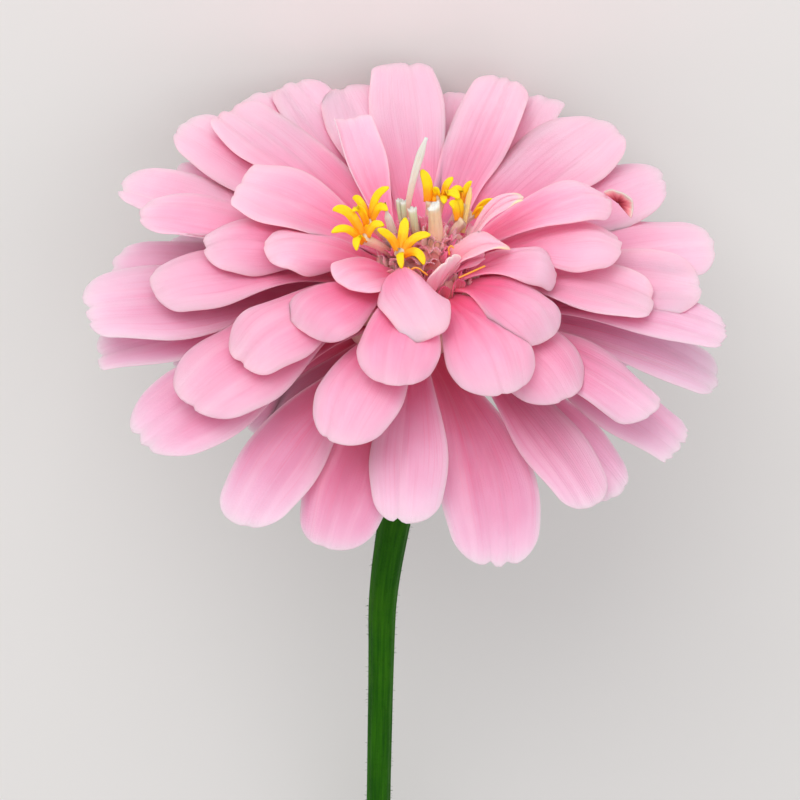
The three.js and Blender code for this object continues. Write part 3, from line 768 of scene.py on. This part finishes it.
def add_petal(piece, row, layer, azimuth, reach, rise, width, arch, look, rng):
    """A petal's closed blade, with s the share along it and t the place across it."""
    look = {**LOOK, **look}
    if not look["notches"]:
        look["notches"] = [(rng.uniform(-0.5, -0.1), rng.uniform(0, 0.35)),
                           (rng.uniform(0.1, 0.5), rng.uniform(0, 0.35))]
    radius, height, painted_row_shade = ROWS[row]
    root = on_ring(azimuth + look["turn"], radius, height + layer * LAYER_STEP)
    root[0] += core_shift(height)
    tip = on_ring(azimuth, reach, rise + look["curl"])
    crest = root + look["bend"] * (tip - root) + on_ring(azimuth + 90, look["sway"], arch)
    length = np.linalg.norm(tip - root)

    row_share, column = grid(*PETAL_STEPS)
    row_share = 1 - (1 - row_share) ** 1.3
    t = crowded(column)
    corner = tip_outline(t, width, length, look, rng)
    s = row_share * (1 - corner * row_share ** 2)

    swell = look["base"] + (1 - look["base"]) * ease(s / WIDEST_AT)
    narrowing = look["narrow"] * ease((s - WIDEST_AT) / (1 - WIDEST_AT))
    half = width / 2 * swell * (1 - narrowing)
    middle, forward = bend(root, crest, tip, s)
    sideways = unit(np.cross(np.array([0, 0, 1.0]), forward))
    normal = np.cross(forward, sideways)

    lift = -look["cup"] * half * t ** 2 * ease((s - 0.15) / 0.5)
    lift += look["channel"] * half * t ** 2 * (1 - ease(s / 0.6))
    lift += look["fold"] * half * np.abs(t) * (1 - 0.6 * ease((s - 0.5) / 0.5))
    lift -= look["curl"] * ease((s - 0.6) / 0.4) ** 2
    aside = t * half
    for side, degrees, place, spread, start in look["folds"]:
        turn = math.radians(degrees) * np.exp(-((s - place) / spread) ** 2)
        flat = np.clip(side * t, 0, 1)
        out, up = rolled_side(flat, turn, start)
        lift += half * up
        aside = aside + side * half * (out - flat)
    for place, depth in look["notches"]:
        groove = np.exp(-((t - place * (0.55 + 0.45 * s)) / GROOVE_WIDTH) ** 2)
        lift -= (0.2 + 0.4 * min(depth, 0.6)) * groove * ease(s / 0.4)
    for edge in (-1, 1):
        pace, phase = rng.uniform(1.1, 2.1), rng.uniform(0, 1)
        waves = np.sin(2 * math.pi * (pace * s + phase))
        lift += look["wave"] * waves * np.clip(edge * t, 0, 1) ** 2.5 * ease(s / 0.4)
    lumps = np.sin(rng.uniform(5, 8) * s + rng.uniform(0, 6))
    lumps = lumps * np.cos(rng.uniform(2, 4) * t + rng.uniform(0, 6))
    lift += LUMP_HEIGHT * lumps * ease(s / 0.3)
    face = middle + sideways * aside[..., None] + normal * lift[..., None]

    rim = np.maximum(np.abs(t) ** 9 * ease(s / 0.2), row_share ** 24)
    thickness = PETAL_THICKNESS * (ROOT_THICKENING + (1 - ROOT_THICKENING) * ease(s / 0.4))
    thickness = thickness + (EDGE_THICKNESS - thickness) * rim
    facing = math.sin(math.radians(azimuth))
    tone = rng.uniform(-TONE_CHANCE, TONE_CHANCE) + TONE_STEP * look["tone"]
    tone += (BACK_PALENESS if facing > 0 else FRONT_DEPTH) * facing
    kind = look["young"] or -look.get("painted_shade", painted_row_shade)
    piece.leaf(face, normal, thickness, s, t, tone, kind, 1)


def build_petals():
    rng = random.Random(SEED)
    pieces = {row: Piece(f"petals_{row}", [PETAL_TOP, PETAL_UNDER], "petal", "ray_florets") for row in ROWS}
    for row, petals in PETALS.items():
        for *shape, look in petals:
            add_petal(pieces[row], row, *shape, look, rng)
    for row, azimuths, shape in HIDDEN:
        for i, azimuth in enumerate(azimuths):
            add_petal(pieces[row], row, -1 - i % 2, azimuth, *shape, {}, rng)
    for piece in pieces.values():
        piece.build()


def smooth_line(points, steps):
    """A smooth line through points along the line of sight, with so many steps to each."""
    corners = np.array([seen(*point) for point in points])
    share = np.linspace(0, len(corners) - 1, steps * len(corners))
    line = np.stack([np.interp(share, range(len(corners)), corners[:, k]) for k in range(3)], axis=-1)
    for _ in range(3):
        line[1:-1] = (line[:-2] + 2 * line[1:-1] + line[2:]) / 4
    return line


def build_curled_tip():
    piece = Piece("curled_tip", [dried_and_hollow_shade_material()], "petal", "ray_florets")
    rim = smooth_line(CURLED_RIM, 6)
    depth = seen(*CURLED_DEPTH)
    share, across = grid(16, len(rim) - 1)
    ripple = 0.06 * np.sin(np.linspace(0, 14, len(rim)))[None, :] * share ** 2
    face = depth + (rim - depth)[None] * (share ** 0.8 + ripple)[..., None]
    piece.leaf(face, seen(0, 0, 1), CURLED_THICKNESS, share, across)
    piece.build()


def turned_rings(profile, sides, shift):
    """Rings of a turned shape, each shifted to the flower's right by what shift says for its height."""
    angle = circle(sides)
    rings = []
    for radius, height in profile:
        radius = max(radius, 0.01)
        ring = [radius * np.cos(angle) + shift(height), radius * np.sin(angle), np.full(sides, height)]
        rings.append(np.stack(ring, axis=-1))
    return np.array(rings)


def build_core():
    piece = Piece("receptacle", [core_material()], "petal", "ray_florets")
    piece.tube(turned_rings(CORE, 48, core_shift), np.linspace(0, 1, len(CORE)))
    piece.build()
    cone = Piece("disc_cone", [core_material()], "floret", "disc_florets")
    cone.tube(turned_rings(DISC_CONE, 32, lambda height: DISC_SHIFT), np.linspace(0, 1, len(DISC_CONE)))
    cone.build()


# Disc

def path_rings(points, radii, sides, ribs=0, rib_depth=0.0):
    """Rings round a path, with ribs along it."""
    forward = unit(np.gradient(points, axis=0))
    side = unit(np.cross(forward, np.array([0.13, 1, 0.2])))
    other = np.cross(forward, side)
    angle = circle(sides)
    radius = np.asarray(radii)[:, None] * (1 + rib_depth * np.cos(ribs * angle))[None, :]
    return (points[:, None, :] + (radius * np.cos(angle))[..., None] * side[:, None, :]
            + (radius * np.sin(angle))[..., None] * other[:, None, :])


def floret_root(throat):
    foot = np.array([DISC_SHIFT, 0, FLORET_ROOT_HEIGHT])
    below = np.array([throat[0], throat[1], FLORET_ROOT_HEIGHT])
    return foot + FLORET_ROOT_SPREAD * (below - foot)


def add_floret_tube(piece, root, throat):
    """A ribbed tube with an open mouth: its wall goes down again inside."""
    share = np.linspace(0, 1, 13)
    axis = unit(throat - root)
    points, _ = bend(root, root + 0.5 * (throat - root) + np.array([0, 0, 0.6]), throat, share)
    low, high = TUBE_RADII
    radii = low + (high - low) * share ** 1.5
    points = np.concatenate([points, [throat - axis * depth for depth, _, _ in TUBE_INSIDE]])
    radii = np.concatenate([radii, [radius for _, radius, _ in TUBE_INSIDE]])
    along = np.concatenate([share, [place for _, _, place in TUBE_INSIDE]])
    piece.tube(path_rings(points, radii, 20, 5, 0.06), along)


def add_lobe(piece, root, throat, towards, tip, width):
    axis = unit(throat - root)
    outward = tip - throat
    outward = unit(outward - axis * np.dot(outward, axis))
    start = throat + outward * LOBE_FOOT_OUT - axis * LOBE_FOOT_DEPTH
    share, column = grid(18, 10)
    t = crowded(column)
    s = share * (1 - 0.16 * np.abs(t) ** 2.5)
    middle, forward = bend(start, towards, tip, s)
    across = unit(np.cross(axis, outward))
    open_across = unit(np.cross(forward, seen(0, 0, 1)))
    open_across = open_across * np.sign(np.sum(open_across * across, axis=-1, keepdims=True) + 1e-9)
    across = across + LOBE_OPENNESS * open_across
    across = unit(across - forward * np.sum(forward * across, axis=-1, keepdims=True))
    normal = np.cross(across, forward)
    profile = 0.86 + 0.14 * ease(s / 0.45) - 0.3 * ease((s - 0.6) / 0.4)
    half = width / 2 * profile
    lift = 0.42 * half * t ** 2 * (1 - 1.5 * ease((s - 0.2) / 0.6))
    lift -= 0.06 * np.exp(-(t / 0.3) ** 2)
    face = middle + across * (t * half)[..., None] + normal * lift[..., None]
    rim = np.maximum(np.abs(t) ** 6, share ** 12)
    piece.leaf(face, normal, LOBE_THICKNESS - LOBE_THINNING * rim, s, t)


# The numbers that tell closed florets apart in their material
TUBE_KINDS = {"green": 1, "beige": 2, "pale": 3, "cream": 4}


def add_closed_floret(piece, kind, root, towards, top, radii):
    share = np.linspace(0, 1, 25)
    points, forward = bend(root, towards, top, share)
    low, high = radii
    radius = low + (high - low) * share
    number = TUBE_KINDS[kind]
    if kind in ("pale", "cream"):
        radius = radius * (1 - 0.6 * ease((share - 0.8) / 0.2))
        piece.tube(path_rings(points, radius, 20, 2, 0.3), share, number)
        return
    radius = radius * (1 + 0.12 * ease((share - 0.9) / 0.1))
    rings = path_rings(points, radius, 24, 6, 0.05)
    angle = circle(24)
    right = unit(rings[-1] - points[-1])[:, 0]
    rings[-1] += forward[-1] * (TOP_SLANT[kind] * right + 0.12 * np.cos(5 * angle))[:, None]
    inner = rings[-1] * 0.4 + rings[-1].mean(axis=0) * 0.6 - forward[-1] * 0.3
    rings = np.concatenate([rings, inner[None]])
    piece.tube(rings, np.concatenate([share, [1.0]]), number)


def build_disc():
    lobes = Piece("disc_lobes", [lobe_material()], "floret", "disc_florets")
    tubes = Piece("disc_tubes", [tube_material()], "floret", "disc_florets")
    for throat, shapes in OPEN_FLORETS:
        throat = seen(*throat)
        root = floret_root(throat)
        add_floret_tube(tubes, root, throat)
        for towards, tip, width in shapes:
            add_lobe(lobes, root, throat, seen(*towards), seen(*tip), width)
    for kind, root, towards, top, radii in CLOSED_FLORETS:
        add_closed_floret(tubes, kind, seen(*root), seen(*towards), seen(*top), radii)
    lobes.build()
    tubes.build()

    styles = Piece("styles", [style_material()], "floret", "disc_florets")
    for points in STYLES:
        line = smooth_line(points, 8)
        styles.tube(path_rings(line, np.full(len(line), STYLE_RADIUS), 8), np.linspace(0, 1, len(line)))
    styles.build()


def add_chaff(piece, root, top, facing, rng):
    """A thin scale with a fringed end, hollow towards the side that it faces."""
    axis = unit(top - root)
    out = np.array([math.cos(facing), math.sin(facing), 0])
    across = unit(np.cross(axis, out))
    out = np.cross(across, axis)
    width = rng.uniform(*CHAFF_WIDTHS)
    share, t = grid(*SCALE_STEPS)
    fringe = 0.12 * np.abs(np.sin(t * 9 + rng.uniform(0, 3))) + 0.12 * np.abs(t)
    s = share * (1 - fringe * share ** 3)
    half = width / 2 * (0.7 + 0.3 * ease(s / 0.5) - 0.3 * ease((s - 0.7) / 0.3))
    lift = -0.75 * half * t ** 2 + 0.35 * np.sin(3 * s + rng.uniform(0, 2)) * s
    face = root + (top - root) * s[..., None] + across * (t * half)[..., None] + out * lift[..., None]
    piece.leaf(face, out, CHAFF_THICKNESS, s, t, rng.random())


def build_chaff():
    rng = random.Random(SEED + 2)
    piece = Piece("chaff", [chaff_material()], "floret", "disc_florets")
    golden = math.pi * (3 - math.sqrt(5))
    for i in range(CHAFF_COUNT):
        spread = math.sqrt((i + 0.5) / CHAFF_COUNT)
        angle = golden * i
        x = CHAFF_MIDDLE[0] + CHAFF_AREA[0] * spread * math.cos(angle)
        y = CHAFF_MIDDLE[1] + CHAFF_AREA[1] * spread * math.sin(angle)
        top = np.array([x, y, CHAFF_TOP - CHAFF_DOME * spread ** 2 + rng.uniform(-0.6, 0.5)])
        add_chaff(piece, floret_root(top), top, math.pi + angle + rng.uniform(-0.6, 0.6), rng)
    middle = np.array([DISC_SHIFT, 0, 0])
    for i, azimuth in enumerate(CHAFF_RIM):
        azimuth += rng.uniform(-4, 4)
        root_radius, root_height, radius, height = CHAFF_RINGS[i % len(CHAFF_RINGS)]
        root = middle + on_ring(azimuth, root_radius, root_height)
        top = middle + on_ring(azimuth, radius, height + rng.uniform(-0.5, 0.5))
        add_chaff(piece, root, top, math.pi + math.radians(azimuth), rng)
    piece.build()


# Bracts and stem

def build_bracts():
    piece = Piece("bract_scales", [bract_material()], "bract", "bracts")
    radii, heights = zip(*CUP)
    sector = 2 * math.pi / BRACTS_IN_ROW
    rng = random.Random(SEED + 3)
    for row, tip in enumerate(BRACT_TIPS):
        for i in range(BRACTS_IN_ROW):
            share, t = grid(*SCALE_STEPS)
            s = share * (1 - 0.42 * np.abs(t) ** 2.4)
            low = max(tip - BRACT_LENGTH, heights[0])
            height = low + (tip + 0.15 - low) * s
            angle = sector * (i + row / 2) + t * sector * BRACT_HALF_WIDTH * (0.8 + 0.2 * ease(s / 0.4))
            stand = 0.12 + BRACT_FLARE * s ** 1.5 + rng.uniform(0, 0.08)
            radius = np.interp(height, heights, radii) + stand - 0.1 * t ** 2
            face = np.stack([radius * np.cos(angle), radius * np.sin(angle), height], axis=-1)
            outward = np.stack([np.cos(angle), np.sin(angle), np.zeros_like(angle)], axis=-1)
            inner = face - outward * BRACT_THICKNESS * (1 - 0.6 * share ** 6)[..., None]
            piece.blade(face, inner, s, t, rng.random())
    inside = [(radius - 0.15, height) for radius, height in CUP]
    piece.tube(turned_rings([(0, CUP[0][1])] + inside + [(0, CUP[-1][1])], 40, lambda height: 0),
               np.linspace(0, 0.5, len(CUP) + 2))
    piece.build()


# The stem's mesh, the share of its cut end that is pith, and its short hairs, with the height above the
# surface below which none stands
STEM_RINGS, STEM_SIDES = 150, 40
PITH_SHARE = 0.62
HAIR_COUNT = 700
HAIR_LENGTHS = (0.2, 0.5)
HAIR_RADII = (0.03, 0.022, 0.008)
HAIR_CLEARANCE = 0.3


def build_stem():
    rng = random.Random(SEED + 4)
    piece = Piece("stem_skin", [stem_material()], "stem", "stem")
    share = np.linspace(0, 1, STEM_RINGS)[:, None]
    angle = circle(STEM_SIDES)[None, :]
    down = STEM_LENGTH * (1 - share)
    swell = np.maximum(0, 1 - down / STEM_SWELLS_FROM) ** STEM_SWELLING
    radius = STEM_RADIUS + (STEM_NECK_RADIUS - STEM_RADIUS) * swell
    ridges = 0.035 * np.cos(9 * angle + 1.5 * share) + 0.02 * np.cos(4 * angle - 3 * share)
    radius = radius * (0.985 + ridges + 0.012 * np.sin(25 * share + 2 * angle))
    bow = CROOK_SHIFT * ease((down - CROOK_FROM) / CROOK_LENGTH) + STEM_LEAN * down
    height = np.broadcast_to(STEM_TOP - down, radius.shape)
    points = np.stack([radius * np.cos(angle) - bow, radius * np.sin(angle), height], axis=-1)
    points = above_ground(points)
    piece.tube(points, share[:, 0])

    middle = points[0].mean(axis=0)
    pith = middle + (points[0] - middle) * PITH_SHARE
    pith_ring = np.stack([pith + np.array([0, 0, 0.02]), pith - np.array([0, 0, 0.06])])
    piece.tube(pith_ring[::-1], np.array([0.0, 0.01]), 1)

    for _ in range(HAIR_COUNT):
        ring = rng.randrange(3, STEM_RINGS - 3)
        side = rng.randrange(STEM_SIDES)
        base = points[ring, side]
        out = unit(base - points[ring].mean(axis=0))
        lean = np.array([0, 0, rng.uniform(-0.4, 0.5)])
        tip = base + unit(out + lean) * rng.uniform(*HAIR_LENGTHS)
        if placed(tip[None])[0, 2] < HAIR_CLEARANCE * MM:
            continue
        hair = path_rings(np.array([base - out * 0.05, (base + tip) / 2, tip]), HAIR_RADII, 3)
        piece.tube(hair, np.array([0.2, 0.5, 0.8]))
    piece.build()


# Surroundings

# The floor's size in metres
FLOOR_SIZE = 6


def build_floor():
    bpy.ops.mesh.primitive_plane_add(size=FLOOR_SIZE, location=(0, 0, 0))
    floor = bpy.context.object
    floor.name = "floor"
    floor.data.materials.append(floor_material())


# The camera's distance from the head's middle, its lens for a sensor 36 wide, and how far from that middle it
# aims, in millimetres
SIGHT_DISTANCE = 500
FOCAL_LENGTH = 186.8
AIM_RIGHT = -0.84
AIM_UP = -12.05

# Each lamp: name, direction from the head, distance and size in metres, energy and colour
LAMPS = [
    ("sky", (-0.2, 0.85, 0.55), 1.1, 1, 7.2, (1, 0.985, 0.965)),
    ("fill", (0.4, 0.3, 0.9), 1.4, 1.4, 3.8, (0.98, 0.97, 1)),
]
WORLD_COLOUR = (0.97, 0.96, 0.97, 1)
WORLD_STRENGTH = 0.68


def build_camera():
    head = Vector(HEAD_PLACE) * MM
    rise = AXIS_RISE + math.pi / 2 - SIGHT_RISE
    back = Vector((0, math.cos(rise), math.sin(rise)))
    up = Vector((0, math.sin(rise), -math.cos(rise)))
    right = Vector((1, 0, 0))
    eye = head + back * SIGHT_DISTANCE * MM
    aim = head + (right * AIM_RIGHT + up * AIM_UP) * MM
    forward = (aim - eye).normalized()
    across = forward.cross(up).normalized()
    upright = across.cross(forward)
    data = bpy.data.cameras.new("camera")
    data.lens = FOCAL_LENGTH
    data.clip_start = 0.01
    camera = bpy.data.objects.new("camera", data)
    axes = Matrix((across, upright, -forward)).transposed()
    camera.matrix_world = Matrix.Translation(eye) @ axes.to_4x4()
    scene.collection.objects.link(camera)
    scene.camera = camera


def add_lamp(name, direction, distance, size, energy, colour):
    data = bpy.data.lights.new(name, "AREA")
    data.shape = "DISK"
    data.size = size
    data.energy = energy
    data.color = colour
    lamp = bpy.data.objects.new(name, data)
    way = Vector(direction).normalized()
    lamp.location = Vector(HEAD_PLACE) * MM + way * distance
    lamp.rotation_euler = way.to_track_quat("Z", "Y").to_euler()
    scene.collection.objects.link(lamp)


def build_light():
    for lamp in LAMPS:
        add_lamp(*lamp)
    world = bpy.data.worlds.new("world")
    world.use_nodes = True
    background = world.node_tree.nodes["Background"]
    background.inputs["Color"].default_value = WORLD_COLOUR
    background.inputs["Strength"].default_value = WORLD_STRENGTH
    scene.world = world
    scene.view_settings.view_transform = "Standard"
    scene.view_settings.exposure = 0


build_petals()
build_curled_tip()
build_core()
build_disc()
build_chaff()
build_bracts()
build_stem()
build_floor()
build_camera()
build_light()

bpy.context.view_layer.update()
